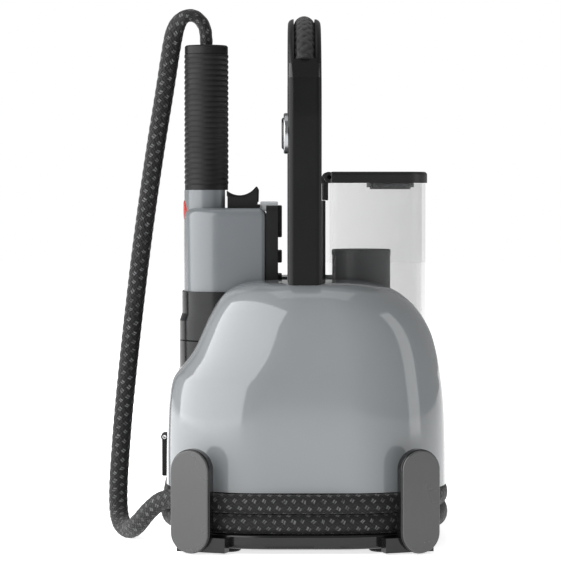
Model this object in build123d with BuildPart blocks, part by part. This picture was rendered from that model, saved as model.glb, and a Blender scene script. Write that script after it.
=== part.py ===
from build123d import *
import os
from math import copysign, cos, pi, radians, sin, tan

# Compact docked garment steamer. Millimetres, +Z up, front towards -Y, dock on the -X side.
# The origin is on the floor under the middle of the base.
os.makedirs("parts", exist_ok=True)

# ---- driving dimensions ----
wall = 2.5
fit_gap = 0.5
slide_gap = 0.3

# base: a drum that the hose is wound on, standing on a wider tray
drum_width = 156.0
drum_depth = 208.0
drum_corner = 56.0
drum_top = 34.8
tray_bottom = 3.0
tray_top = 11.3
tray_side_ledge = 1.0
tray_front_ledge = 9.0
tray_corner_ledge = 4.0
lane_thickness = 8.9
vent_slot_width = 28.0
vent_slot_z = 4.6
vent_slot_height = 1.2
vent_slots_x = (-9.0, 34.0)

# cord posts, outside the hose at each corner of the drum
post_facing = 20.0
post_shift = 20.0
post_width = 24.0
post_height = 60.0
post_thickness = 6.4
post_cap_thickness = 1.6
post_gap = 2.5
post_clearance = 0.6
bridge_reach = 22.0
foot_radius = 9.0
foot_inset = 13.0
foot_angle = 35.0
bridge_outer = 9.6
bridge_inner = 20.0

# body shell: its edge past the drum on each side, then for each station its height above the
# drum and how far its left edge, right edge, front and back, and corner radius draw in
shell_left_lip = 4.0
shell_right_lip = 6.0
shell_front_lip = 2.0
shell_corner_lip = 1.0
shell_rise = 120.2
shell_draws = [
    (0.0, 0.0, 0.0, 0.0, 0.0),
    (31.2, 0.4, 0.4, 0.2, 0.0),
    (47.2, 1.2, 1.2, 0.5, 0.0),
    (56.2, 2.4, 2.0, 0.8, 0.0),
    (63.2, 4.6, 3.0, 1.1, 0.5),
    (69.2, 9.2, 3.8, 1.5, 1.0),
    (79.2, 16.4, 5.8, 2.3, 2.0),
    (89.2, 21.2, 8.8, 3.4, 3.5),
    (98.2, 25.2, 13.4, 5.0, 6.0),
    (105.2, 29.0, 18.6, 7.2, 8.5),
    (110.2, 32.4, 23.8, 9.8, 11.0),
    (114.2, 36.6, 30.0, 13.2, 15.0),
    (117.2, 42.4, 37.6, 17.8, 20.5),
    (119.2, 50.4, 47.2, 24.0, 29.0),
    (shell_rise, 64.0, 64.0, 36.0, 41.0),
]

# carrying handle, a hoop in the YZ plane
handle_top = 311.6
handle_inset = 20.0
handle_arm = 28.0
handle_arch = 24.0
handle_corner = 60.0
handle_width = 19.6
handle_foot_depth = 23.0
handle_edge = 3.4
rope_diameter = 12.6
rope_sink = 4.5
rope_end_angle = 34.5
collar_drop = 37.0
collar_height = 8.4
collar_thickness = 1.0

# power button on the front arm
power_drop = 69.6
bezel_radius = 12.0
bezel_width = 2.6
bezel_proud = 2.6
button_proud = 3.8
button_depth = 2.6
power_travel = 1.2
switch_space = 1.2

# handpiece, standing head down
grip_x = -59.5
grip_radius = 13.5
head_overhang = 23.1
head_half_depth = 25.0
head_bottom = 121.0
head_length = 77.0
head_edge = 5.0
neck_length = 11.0
sleeve_length = 83.0
end_cap_height = 5.2
rib_pitch = 3.2
rib_depth = 0.7
shell_wall = 2.0
soleplate_thickness = 2.2
soleplate_margin = 3.0
steam_hole_radius = 1.2
guard_thickness = 5.0
guard_rib_count = 5
guard_rib_height = 7.0
guard_rib_depth = 2.4
guard_top_rise = 1.6
clip_height = 2.4
clip_half_width = 9.0
clip_reach = 3.6
mode_button_radius = 6.0
mode_button_drop = 1.3
mode_button_proud = 0.5
trigger_half_width = 7.0
trigger_pin_reach = 9.9
trigger_pin_rise = 4.6
trigger_pin_radius = 1.0
bracket_thickness = 3.0
plinth_height = 1.0

# dock for the handpiece
dock_wall_left = 0.8
dock_wall_right = 2.4
dock_wall_side = 2.1
dock_height = 29.5
dock_step_height = 11.5
dock_step = 1.5
dock_flare_height = 4.5
pedestal_height = 34.0
pedestal_gap = 1.4

# water tank
tank_left = 14.9
tank_width = 59.4
tank_front = -23.5
tank_depth = 93.0
tank_bottom = 98.5
tank_height = 114.5
tank_wall = 2.2
tank_round = 19.0
tank_small_round = 6.0
bay_gap = 2.5
guide_thickness = 1.7
guide_gap = 1.6
lid_thickness = 6.8
lid_overhang = 1.0
lid_round = 2.0
hinge_radius = 3.4
hinge_pin_radius = 1.3
hinge_reach = 29.0
hinge_length = 10.0
hinge_pin_reach = 37.0
lid_dish_depth = 2.6
lid_dish_inset = 16.0
lid_seal_thickness = 1.2
cartridge_radius = 17.9
cartridge_flange = 0.3
cartridge_height = 74.1
cartridge_offset = 11.0
inlet_offset = 25.0
inlet_radius = 6.0
inlet_drop = 12.0
valve_radius = 5.0

# cord keeper
keeper_y = -20.0
keeper_rise = 1.2
keeper_length = 23.8
keeper_width = 7.0
keeper_thickness = 4.2
keeper_pin_radius = 1.25
keeper_ear = 1.8
keeper_pin_bore = 0.8

# inside the base
boiler_x = 24.0
boiler_y = 10.0
boiler_radius = 40.0
boiler_height = 58.0
boiler_leg = 12.0
pump_inset_x = 36.0
pump_inset_y = 46.0
pump_radius = 12.0
board_inset = 28.0
screw_inset = 20.0
mains_z = 50.0

# steam hose
hose_diameter = 9.4
gland_x = (-14.0, 10.0)

# ---- derived places ----
tray_width = drum_width + 2 * tray_side_ledge
tray_depth = drum_depth + 2 * tray_front_ledge
tray_corner = drum_corner + tray_corner_ledge
tray_corner_x = tray_width / 2 - tray_corner
tray_corner_y = tray_depth / 2 - tray_corner
lane_split_z = (tray_top + drum_top) / 2
floor_z = tray_bottom + wall

shell_left = -drum_width / 2 - shell_left_lip
shell_right = drum_width / 2 + shell_right_lip
shell_half_depth = drum_depth / 2 + shell_front_lip
shell_corner = drum_corner + shell_corner_lip
shell_top = drum_top + shell_rise
outside = drum_width

handle_half_depth = drum_depth / 2 - handle_inset
handle_arm_y = handle_half_depth - handle_arm / 2
handle_foot_z = shell_top - handle_foot_depth
collar_low = handle_top - collar_drop
rope_radius = rope_diameter / 2
rope_corner = handle_corner - rope_sink
corner_z = handle_top - handle_corner
corner_y = handle_half_depth - handle_corner
button_radius = bezel_radius - bezel_width
button_place = (-handle_width / 2, -handle_arm_y, handle_top - power_drop)
button_pocket = button_depth + power_travel + switch_space

grip_edge = grip_x + grip_radius
head_left = grip_x - grip_radius
head_right = grip_edge + head_overhang
head_top = head_bottom + head_length
head_round = min(22.0, head_half_depth - 3.0)
neck_top = head_top + neck_length
sleeve_top = neck_top + sleeve_length
grip_top = sleeve_top + end_cap_height
core_radius = grip_radius - shell_wall
gland_radius = core_radius - 4.5
trigger_pin_x = grip_edge + trigger_pin_reach
trigger_pin_z = head_top + trigger_pin_rise
guard_left = head_right + soleplate_thickness
guard_right = guard_left + guard_thickness
guard_low = head_bottom + 1.4
guard_high = head_top + guard_top_rise
guard_rib_pitch = (head_length - 5.0) / guard_rib_count

dock_left = head_left - fit_gap - dock_wall_left
dock_right = guard_right + guard_rib_depth + fit_gap + dock_wall_right
dock_half_depth = head_half_depth + fit_gap + dock_wall_side
dock_floor_z = head_bottom - fit_gap - wall
dock_top = dock_floor_z + dock_height
dock_step_z = dock_floor_z + dock_step_height
dock_round = head_round + 2.0
pedestal_bottom = dock_floor_z - pedestal_height
dock_bay = dock_half_depth + pedestal_gap

tank_right = tank_left + tank_width
tank_back = tank_front + tank_depth
tank_middle = (tank_front + tank_back) / 2
tank_top = tank_bottom + tank_height
bay_left = tank_left - guide_thickness - guide_gap
bay_floor = tank_bottom - fit_gap
bay_front = tank_front - bay_gap
bay_back = tank_back + bay_gap
lid_bottom = tank_top + slide_gap
lid_top = lid_bottom + lid_thickness
hinge_x = bay_left + hinge_radius + 0.2
hinge_z = lid_bottom + hinge_radius
hinge_spans = [(tank_middle - hinge_reach, tank_middle - hinge_reach + hinge_length),
               (tank_middle + hinge_reach - hinge_length, tank_middle + hinge_reach)]
cartridge_rim = cartridge_radius + cartridge_flange
cartridge_x = tank_left + tank_wall + cartridge_rim + slide_gap
cartridge_y = tank_middle - cartridge_offset
cartridge_top = tank_bottom + cartridge_height
inlet_y = tank_middle + inlet_offset
inlet_bottom = bay_floor - inlet_drop

keeper_in = shell_left - 0.3
keeper_out = keeper_in - keeper_thickness
keeper_pin_x = keeper_out + keeper_thickness / 2
keeper_bottom = drum_top + keeper_rise
keeper_pin_z = keeper_bottom + keeper_length
pump_x = -drum_width / 2 + pump_inset_x
pump_y = drum_depth / 2 - pump_inset_y


def block(x, y, z, mode=Mode.ADD):
    """Adds or cuts a box between low and high bounds on each axis."""
    with Locations(((x[0] + x[1]) / 2, (y[0] + y[1]) / 2, (z[0] + z[1]) / 2)):
        Box(x[1] - x[0], y[1] - y[0], z[1] - z[0], mode=mode)


def slab(x, y, z, radius, mode=Mode.ADD):
    """Adds or cuts an upright prism with rounded corners."""
    with BuildSketch(Plane.XY.offset(z[0])) as outline:
        with Locations(((x[0] + x[1]) / 2, (y[0] + y[1]) / 2)):
            RectangleRounded(x[1] - x[0], y[1] - y[0], radius)
    extrude(outline.sketch, amount=z[1] - z[0], mode=mode)


def oval_prism(width, depth, radius, z, mode=Mode.ADD):
    """Adds or cuts a centred upright prism with rounded corners."""
    slab((-width / 2, width / 2), (-depth / 2, depth / 2), z, radius, mode)


def two_round_slab(x, y, z, left_radius, right_radius, mode=Mode.ADD):
    """Adds or cuts a prism whose left and right corners have their own radii."""
    with BuildSketch(Plane.XY.offset(z[0])) as outline:
        with Locations(((x[0] + x[1]) / 2, (y[0] + y[1]) / 2)):
            Rectangle(x[1] - x[0], y[1] - y[0])
        fillet(outline.vertices().group_by(Axis.X)[0], left_radius)
        fillet(outline.vertices().group_by(Axis.X)[-1], right_radius)
    extrude(outline.sketch, amount=z[1] - z[0], mode=mode)


def rod(start, axis, radius, length, mode=Mode.ADD):
    """Adds or cuts a cylinder from a point along a direction."""
    with BuildSketch(Plane(origin=start, z_dir=axis)) as section:
        Circle(radius)
    extrude(section.sketch, amount=length, mode=mode)


def shell_loft(inset):
    """Adds the body's outer form, set in by a wall where asked, at its floor and its curved top too."""
    sections = []
    for rise, left_draw, right_draw, depth_draw, corner_draw in shell_draws:
        low = shell_left + left_draw + inset
        high = shell_right - right_draw - inset
        depth = 2 * (shell_half_depth - depth_draw - inset)
        shift = inset if rise == 0 else 0
        if rise > shell_rise / 2:
            shift = -inset
        with BuildSketch(Plane.XY.offset(drum_top + rise + shift)) as section:
            with Locations(((low + high) / 2, 0)):
                RectangleRounded(high - low, depth, shell_corner - corner_draw - inset)
        sections.append(section.sketch)
    loft(sections, ruled=True)


def hoop(inset):
    """Adds the handle's hoop, set in on every face where asked."""
    half = handle_half_depth - inset
    inner = handle_half_depth - handle_arm + inset
    arch_bottom = handle_top - handle_arch + inset
    with BuildSketch(Plane.YZ) as outline:
        with Locations((0, (handle_top - inset) / 2)):
            RectangleRounded(2 * half, handle_top - inset, handle_corner - inset)
        with Locations((0, arch_bottom / 2)):
            RectangleRounded(2 * inner, arch_bottom, handle_corner - handle_arch + inset,
                             mode=Mode.SUBTRACT)
        with Locations((0, handle_foot_z / 2)):
            Rectangle(2 * half + 2, handle_foot_z, mode=Mode.SUBTRACT)
    extrude(outline.sketch, amount=handle_width / 2 - inset, both=True)


def rope_sweep(mode=Mode.ADD):
    """Adds the rope, an arc over each corner and a straight top, or cuts its open channel."""
    middle_angle = (90 + rope_end_angle) / 2
    ends = []
    for angle in (rope_end_angle, middle_angle, 90):
        ends.append((corner_y + rope_corner * cos(radians(angle)),
                     corner_z + rope_corner * sin(radians(angle))))
    with BuildLine(Plane.YZ) as rope_line:
        ThreePointArc(*[(-y, z) for y, z in ends])
        Line((-corner_y, corner_z + rope_corner), (corner_y, corner_z + rope_corner))
        ThreePointArc(*reversed(ends))
    rope_wire = rope_line.wire()
    start = Plane(origin=rope_wire @ 0, x_dir=(1, 0, 0), z_dir=rope_wire % 0)
    with BuildSketch(start) as section:
        Circle(rope_radius)
        if mode == Mode.SUBTRACT:
            with Locations((0, -rope_radius * copysign(1, start.y_dir.Y))):
                Rectangle(rope_diameter, rope_diameter)
    sweep(section.sketch, path=rope_wire, mode=mode)


def save(piece, name):
    """Labels a finished piece and writes it."""
    piece.part.label = name
    export_step(piece.part, f"parts/{name}.step")


# ---- base ----
with BuildPart() as base_tray:
    oval_prism(tray_width, tray_depth, tray_corner, (tray_bottom, tray_top))
    fillet(base_tray.edges().group_by(Axis.Z)[0], 2.5)
    fillet(base_tray.edges().group_by(Axis.Z)[-1], 1.2)
    oval_prism(drum_width, drum_depth, drum_corner, (tray_top, drum_top))
    oval_prism(drum_width - 2 * wall, drum_depth - 2 * wall, drum_corner - wall,
               (tray_bottom + wall, drum_top), Mode.SUBTRACT)
    for side in (-1, 1):
        for x in vent_slots_x:
            block((x - vent_slot_width / 2, x + vent_slot_width / 2),
                  (side * tray_depth / 2 - 1, side * tray_depth / 2 + 1),
                  (vent_slot_z, vent_slot_z + vent_slot_height), Mode.SUBTRACT)
save(base_tray, "base_tray")

post_caps_made = []
for corner, side_x, side_y in (("front_left", -1, -1), ("front_right", 1, -1),
                               ("rear_left", -1, 1), ("rear_right", 1, 1)):
    outward = Vector(side_x * sin(radians(post_facing)), side_y * cos(radians(post_facing)), 0)
    sideways = Vector(side_x * cos(radians(post_facing)), -side_y * sin(radians(post_facing)), 0)
    arc_centre = Vector(side_x * (drum_width / 2 - drum_corner), side_y * (drum_depth / 2 - drum_corner), 0)
    pad_foot = arc_centre + outward * (drum_corner + lane_thickness + post_gap) + sideways * post_shift
    pad_plane = Plane(origin=pad_foot + Vector(0, 0, post_clearance + post_height / 2),
                      x_dir=sideways, z_dir=outward)
    bridge_plane = Plane(origin=pad_foot - outward * bridge_reach, x_dir=sideways, z_dir=outward)
    bridge_low = post_clearance + 0.6
    bridge_high = tray_top - 1.6
    up = bridge_plane.y_dir.Z
    with BuildPart() as cord_post:
        with BuildSketch(pad_plane):
            SlotOverall(post_height, post_width, rotation=90)
        extrude(amount=post_thickness)
        fillet(cord_post.faces().sort_by(SortBy.AREA)[-2:].edges(), 0.8)
        with BuildSketch(bridge_plane):
            with Locations(((bridge_outer - bridge_inner) / 2, up * (bridge_low + bridge_high) / 2)):
                Rectangle(bridge_outer + bridge_inner, bridge_high - bridge_low)
        extrude(amount=bridge_reach + post_thickness / 2)
        oval_prism(tray_width, tray_depth, tray_corner, (0, tray_top), Mode.SUBTRACT)
    save(cord_post, f"cord_post_{corner}")
    with BuildPart() as post_cap:
        with BuildSketch(pad_plane.offset(post_thickness)):
            SlotOverall(post_height - 1, post_width - 1, rotation=90)
        extrude(amount=post_cap_thickness)
        fillet(post_cap.faces().sort_by(SortBy.DISTANCE)[-1].edges(), 0.7)
    post_caps_made.append(post_cap.part)

with BuildPart() as post_caps:
    add(post_caps_made)
save(post_caps, "post_caps")

with BuildPart() as rubber_feet:
    for side_x in (-1, 1):
        for side_y in (-1, 1):
            reach = tray_corner - foot_inset
            foot_x = side_x * (tray_corner_x + reach * sin(radians(foot_angle)))
            foot_y = side_y * (tray_corner_y + reach * cos(radians(foot_angle)))
            rod((foot_x, foot_y, 0), (0, 0, 1), foot_radius, tray_bottom)
    chamfer(rubber_feet.edges().group_by(Axis.Z)[0], 0.8)
save(rubber_feet, "rubber_feet")

# ---- handle ----
with BuildPart() as handle_form:
    hoop(0)
    fillet(handle_form.edges().filter_by(Plane.YZ).filter_by(
        lambda edge: edge.center().Z > handle_foot_z + 1), handle_edge)

with BuildPart() as handle_rope:
    rope_sweep()
save(handle_rope, "handle_rope")

with BuildPart() as collar_core:
    hoop(collar_thickness)

with BuildPart() as handle_collars:
    add(handle_form.part)
    block((-handle_width, handle_width), (-drum_depth, drum_depth),
          (collar_low, collar_low + collar_height), Mode.INTERSECT)
    add(collar_core.part, mode=Mode.SUBTRACT)
save(handle_collars, "handle_collars")

with BuildPart() as handle_frame:
    add(handle_form.part)
    rope_sweep(Mode.SUBTRACT)
    add(handle_collars.part, mode=Mode.SUBTRACT)
    rod(button_place, (1, 0, 0), button_radius + slide_gap, button_pocket, Mode.SUBTRACT)
save(handle_frame, "handle_frame")

with BuildPart() as button_bezel:
    rod(button_place, (-1, 0, 0), bezel_radius, bezel_proud)
    fillet(button_bezel.edges().group_by(Axis.X)[0], 1.0)
    rod(button_place, (-1, 0, 0), button_radius + slide_gap, bezel_proud, Mode.SUBTRACT)
save(button_bezel, "button_bezel")

with BuildPart() as power_button:
    rod(Vector(button_place) + (button_depth, 0, 0), (-1, 0, 0), button_radius,
        button_depth + button_proud)
    fillet(power_button.edges().group_by(Axis.X)[0], 1.4)
save(power_button, "power_button")

with BuildPart() as power_switch:
    switch_start = button_depth + power_travel + slide_gap
    rod(Vector(button_place) + (switch_start, 0, 0), (1, 0, 0), button_radius / 2,
        button_pocket - switch_start)
save(power_switch, "power_switch")

# ---- body shell ----
with BuildPart() as shell_cavity:
    shell_loft(wall)
    block((bay_left - wall, outside), (bay_front - wall, bay_back + wall),
          (bay_floor - wall, handle_top), Mode.SUBTRACT)
    block((-outside, dock_right + fit_gap + wall), (-dock_bay - wall, dock_bay + wall),
          (pedestal_bottom - wall, handle_top), Mode.SUBTRACT)

with BuildPart() as body_shell:
    shell_loft(0)
    block((bay_left, outside), (bay_front, bay_back), (bay_floor, handle_top), Mode.SUBTRACT)
    block((-outside, dock_right + fit_gap), (-dock_bay, dock_bay), (pedestal_bottom, handle_top),
          Mode.SUBTRACT)
    add(shell_cavity.part, mode=Mode.SUBTRACT)
    oval_prism(drum_width - 2 * wall, drum_depth - 2 * wall, drum_corner - wall,
               (drum_top, drum_top + wall + 1), Mode.SUBTRACT)
    add(handle_form.part, mode=Mode.SUBTRACT)
    rod((cartridge_x, inlet_y, inlet_bottom), (0, 0, 1), inlet_radius, inlet_drop + 2, Mode.SUBTRACT)
save(body_shell, "body_shell")

# ---- dock ----
flare_left = dock_left - dock_step
flare_half = dock_half_depth + 1.0
with BuildPart() as dock_pedestal:
    two_round_slab((flare_left - 0.1, dock_right), (-flare_half, flare_half),
                   (pedestal_bottom, dock_floor_z), dock_round + 1.5, 4.0)
    chamfer(dock_pedestal.edges().group_by(Axis.Z)[-1], 0.8)
    two_round_slab((flare_left + wall, dock_right - wall), (-flare_half + wall, flare_half - wall),
                   (pedestal_bottom, dock_floor_z - wall), dock_round - 1.0, 1.5, Mode.SUBTRACT)
save(dock_pedestal, "dock_pedestal")

with BuildPart() as dock_cup:
    two_round_slab((dock_left, dock_right), (-dock_half_depth, dock_half_depth),
                   (dock_floor_z, dock_top), dock_round, 4.0)
    two_round_slab((flare_left, dock_right), (-flare_half, flare_half),
                   (dock_floor_z, dock_step_z), dock_round + 1.5, 4.0)
    flare = []
    for left, half, corner, z in ((flare_left, flare_half, dock_round + 1.5, dock_step_z),
                                  (dock_left, dock_half_depth, dock_round, dock_step_z + dock_flare_height)):
        with BuildSketch(Plane.XY.offset(z)) as flare_outline:
            with Locations(((left + dock_right) / 2, 0)):
                Rectangle(dock_right - left, 2 * half)
            fillet(flare_outline.vertices().group_by(Axis.X)[0], corner)
            fillet(flare_outline.vertices().group_by(Axis.X)[-1], 4.0)
        flare.append(flare_outline.sketch)
    loft(flare, ruled=True)
    two_round_slab((head_left - fit_gap, guard_right + guard_rib_depth + fit_gap),
                   (-head_half_depth - fit_gap, head_half_depth + fit_gap),
                   (head_bottom - fit_gap, dock_top), head_round + fit_gap, 2.0, Mode.SUBTRACT)
    fillet(dock_cup.edges().group_by(Axis.Z)[-1], 0.3)
save(dock_cup, "dock_cup")

# ---- handpiece ----
with BuildPart() as handpiece_form:
    two_round_slab((head_left, head_right), (-head_half_depth, head_half_depth),
                   (head_bottom, head_top), head_round, 3.0)
    fillet(handpiece_form.edges().group_by(Axis.Z)[-1], head_edge)
    fillet(handpiece_form.edges().group_by(Axis.Z)[0], 2.0)
    rod((grip_x, 0, head_top - 20), (0, 0, 1), grip_radius, neck_top - head_top + 20)
    two_round_slab((head_left + shell_wall, head_right - shell_wall),
                   (-head_half_depth + shell_wall, head_half_depth - shell_wall),
                   (head_bottom + shell_wall, head_top - shell_wall - 1),
                   head_round - shell_wall, 1.2, Mode.SUBTRACT)
    rod((grip_x, 0, head_top - 20), (0, 0, 1), core_radius, 40, Mode.SUBTRACT)
    rod((head_left - 2, 0, head_top - mode_button_drop), (1, 0, 0), mode_button_radius + slide_gap,
        8, Mode.SUBTRACT)
    block((grip_edge - 6.5, grip_edge + 2.5),
          (-trigger_half_width - fit_gap, trigger_half_width + fit_gap),
          (head_top, neck_top + 1), Mode.SUBTRACT)
    block((head_right - 4, head_right + 1), (-8, 8), (head_bottom + 19, head_bottom + 27),
          Mode.SUBTRACT)

with BuildPart() as shell_front:
    add(handpiece_form.part)
    split(bisect_by=Plane.XZ, keep=Keep.TOP)
save(shell_front, "handpiece_shell_front")

with BuildPart() as shell_rear:
    add(handpiece_form.part)
    split(bisect_by=Plane.XZ, keep=Keep.BOTTOM)
save(shell_rear, "handpiece_shell_rear")

with BuildPart() as grip_core:
    rod((grip_x, 0, neck_top), (0, 0, 1), core_radius, sleeve_top - neck_top)
    rod((grip_x, 0, neck_top), (0, 0, 1), core_radius - 3, sleeve_top - neck_top, Mode.SUBTRACT)
save(grip_core, "grip_core")

rib_count = int((sleeve_top - neck_top) / rib_pitch)
rib_start = sleeve_top - rib_count * rib_pitch
rib_outline = [(core_radius, neck_top), (grip_radius, neck_top), (grip_radius, rib_start)]
for rib in range(rib_count):
    low = rib_start + rib * rib_pitch
    rib_outline += [(grip_radius - rib_depth, low + 0.3), (grip_radius, low + 0.9),
                    (grip_radius, low + rib_pitch - 0.1)]
rib_outline += [(grip_radius - 0.4, sleeve_top), (core_radius, sleeve_top)]
with BuildPart() as grip_sleeve:
    with BuildSketch(Plane.XZ):
        with BuildLine():
            Polyline([(grip_x + radius, height) for radius, height in rib_outline], close=True)
        make_face()
    revolve(axis=Axis((grip_x, 0, 0), (0, 0, 1)))
save(grip_sleeve, "grip_sleeve")

with BuildPart() as grip_end_cap:
    rod((grip_x, 0, sleeve_top), (0, 0, 1), grip_radius - 0.3, end_cap_height)
    fillet(grip_end_cap.edges().group_by(Axis.Z)[-1], 1.4)
    rod((grip_x, 0, sleeve_top), (0, 0, 1), gland_radius, end_cap_height, Mode.SUBTRACT)
save(grip_end_cap, "grip_end_cap")

with BuildPart() as hose_gland:
    rod((grip_x, 0, sleeve_top - 6), (0, 0, 1), gland_radius, end_cap_height + 6)
    rod((grip_x, 0, sleeve_top - 6), (0, 0, 1), 2.5, 20, Mode.SUBTRACT)
save(hose_gland, "hose_gland")

with BuildPart() as steam_chamber:
    chamber_half = head_half_depth - 8
    chamber_top = head_top - 14
    slab((head_left + 8, head_right - 5), (-chamber_half, chamber_half),
         (head_bottom + 11, chamber_top), 6.0)
    fillet(steam_chamber.edges().group_by(Axis.Z)[-1], 3.0)
    rod((grip_x, 0, chamber_top - 1), (0, 0, 1), 2.5, sleeve_top - 5 - chamber_top)
save(steam_chamber, "steam_chamber")

with BuildPart() as soleplate:
    plate_half = head_half_depth - soleplate_margin
    block((head_right, guard_left), (-plate_half, plate_half), (head_bottom + 4, head_top - 1.5))
    fillet(soleplate.edges().filter_by(Axis.X), 4.0)
    with Locations(Plane(origin=(guard_left, 0, head_bottom + 39), z_dir=(1, 0, 0))):
        with GridLocations(9.0, 12.0, 4, 5):
            Hole(steam_hole_radius)
save(soleplate, "soleplate")

with BuildPart() as fabric_guard:
    guard_half = head_half_depth - 0.5
    window_half = head_half_depth - 8
    rib_half = head_half_depth - 5
    window_height = guard_rib_pitch - guard_rib_height
    block((head_right, guard_right), (-guard_half, guard_half), (guard_low, guard_high))
    fillet(fabric_guard.edges().filter_by(Axis.X), 3.0)
    block((head_right, guard_left), (-plate_half - slide_gap, plate_half + slide_gap),
          (head_bottom + 4 - slide_gap, head_top - 1.5 + slide_gap), Mode.SUBTRACT)
    for rib in range(guard_rib_count):
        window_low = head_bottom + 7.8 + rib * guard_rib_pitch
        block((guard_left - 1, guard_right + 1), (-window_half, window_half),
              (window_low, window_low + window_height), Mode.SUBTRACT)
    for rib in range(guard_rib_count - 2):
        rib_low = head_bottom + 7.8 + window_height + rib * guard_rib_pitch
        block((guard_right, guard_right + guard_rib_depth), (-rib_half, rib_half),
              (rib_low, rib_low + guard_rib_height))
    block((guard_right, guard_right + guard_rib_depth), (-rib_half, rib_half),
          (rib_low + guard_rib_pitch + 1, guard_high))
    fillet(fabric_guard.edges().filter_by(Axis.Y).group_by(Axis.X)[-1], 0.8)
save(fabric_guard, "fabric_guard")

with BuildPart() as guard_clip:
    block((head_right - clip_reach, guard_right), (-clip_half_width, clip_half_width),
          (guard_high, guard_high + clip_height))
    block((head_right - clip_reach, head_right - 0.2), (-clip_half_width, clip_half_width),
          (head_top - 2, guard_high))
    fillet(guard_clip.edges().group_by(Axis.Z)[-1], 0.8)
    add(handpiece_form.part, mode=Mode.SUBTRACT)
save(guard_clip, "guard_clip")

with BuildPart() as trigger_bracket:
    cheek_in = trigger_half_width + 0.4
    cheek_out = cheek_in + bracket_thickness
    cheek_arc = [(-0.5, 8.2), (7.0, 6.4), (16.0, 10.6)]
    cheek_foot = [(16.0, 10.6), (17.6, 10.0), (17.8, 0.0), (-0.5, 0.0), (-0.5, 8.2)]
    for side in (-1, 1):
        with BuildSketch(Plane.XZ.offset(side * cheek_in)) as cheek:
            with BuildLine():
                ThreePointArc(*[(grip_edge + x, head_top + z) for x, z in cheek_arc])
                Polyline(*[(grip_edge + x, head_top + z) for x, z in cheek_foot])
            make_face()
        extrude(cheek.sketch, amount=side * bracket_thickness)
    block((grip_edge + 2, grip_edge + 17.8), (-cheek_out, cheek_out), (head_top, head_top + plinth_height))
    block((grip_edge + 17.8, head_right - clip_reach - 0.2), (-cheek_out, cheek_out),
          (head_top, head_top + 2.2))
    rod((trigger_pin_x, -15, trigger_pin_z), (0, 1, 0), trigger_pin_radius, 30, Mode.SUBTRACT)
save(trigger_bracket, "trigger_bracket")

with BuildPart() as trigger_pin:
    pin_half = trigger_half_width + 0.4 + bracket_thickness
    rod((trigger_pin_x, -pin_half, trigger_pin_z), (0, 1, 0), trigger_pin_radius, 2 * pin_half)
save(trigger_pin, "trigger_pin")

with BuildPart() as trigger:
    with BuildSketch(Plane.XZ) as trigger_face:
        with BuildLine():
            finger_arc = [(-1.0, 10.6), (6.8, 7.8), (17.2, 13.8)]
            underside = [(17.2, 13.8), (18.6, 11.0), (18.4, 4.0), (16.0, 1.4), (9.0, 1.4),
                         (1.4, 5.0), (-1.0, 7.4), (-1.0, 10.6)]
            ThreePointArc(*[(grip_edge + x, head_top + z) for x, z in finger_arc])
            Polyline(*[(grip_edge + x, head_top + z) for x, z in underside])
        make_face()
    extrude(amount=trigger_half_width, both=True)
    fillet(trigger.edges().filter_by(Axis.Y).group_by(Axis.Z)[-1], 0.7)
    rod((trigger_pin_x, -15, trigger_pin_z), (0, 1, 0), trigger_pin_radius + 0.05, 30,
        Mode.SUBTRACT)
save(trigger, "trigger")

with BuildPart() as trigger_switch:
    block((grip_x - 4, grip_edge - 7), (-5, 5), (head_top - 8, head_top + 3))
    rod((grip_x, 0, head_top - 10), (0, 0, 1), 3.0, 20, Mode.SUBTRACT)
save(trigger_switch, "trigger_switch")

with BuildPart() as trigger_spring:
    rod((grip_edge - 4.5, 0, head_top - 6), (0, 0, 1), 2.0, 6)
    rod((grip_edge - 4.5, 0, head_top - 6), (0, 0, 1), 1.3, 6, Mode.SUBTRACT)
save(trigger_spring, "trigger_spring")

with BuildPart() as mode_button:
    rod((head_left - mode_button_proud, 0, head_top - mode_button_drop), (1, 0, 0),
        mode_button_radius, 3.0)
    fillet(mode_button.edges().group_by(Axis.X)[0], 0.8)
save(mode_button, "mode_button")

# ---- water tank ----
with BuildPart() as tank_body:
    two_round_slab((tank_left, tank_right), (tank_front, tank_back), (tank_bottom, tank_top),
                   tank_small_round, tank_round)
    two_round_slab((tank_left + tank_wall, tank_right - tank_wall),
                   (tank_front + tank_wall, tank_back - tank_wall),
                   (tank_bottom + tank_wall, tank_top), tank_small_round - tank_wall,
                   tank_round - tank_wall, Mode.SUBTRACT)
    rod((cartridge_x, inlet_y, tank_bottom), (0, 0, 1), valve_radius, tank_wall, Mode.SUBTRACT)
save(tank_body, "tank_body")

with BuildPart() as hinge_bracket:
    for low, high in hinge_spans:
        block((bay_left + 0.4, tank_left), (low, high), (hinge_z - 14, hinge_z - hinge_radius - 0.3))
        rod((hinge_x, low, hinge_z), (0, 1, 0), hinge_radius, high - low)
        block((hinge_x - hinge_radius, tank_left), (low, high),
              (hinge_z - hinge_radius - 0.3, hinge_z))
    rod((hinge_x, tank_front, hinge_z), (0, 1, 0), hinge_pin_radius, tank_depth, Mode.SUBTRACT)
save(hinge_bracket, "hinge_bracket")

with BuildPart() as lid_hinge_pin:
    rod((hinge_x, tank_middle - hinge_pin_reach, hinge_z), (0, 1, 0), hinge_pin_radius,
        2 * hinge_pin_reach)
save(lid_hinge_pin, "lid_hinge_pin")

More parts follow.
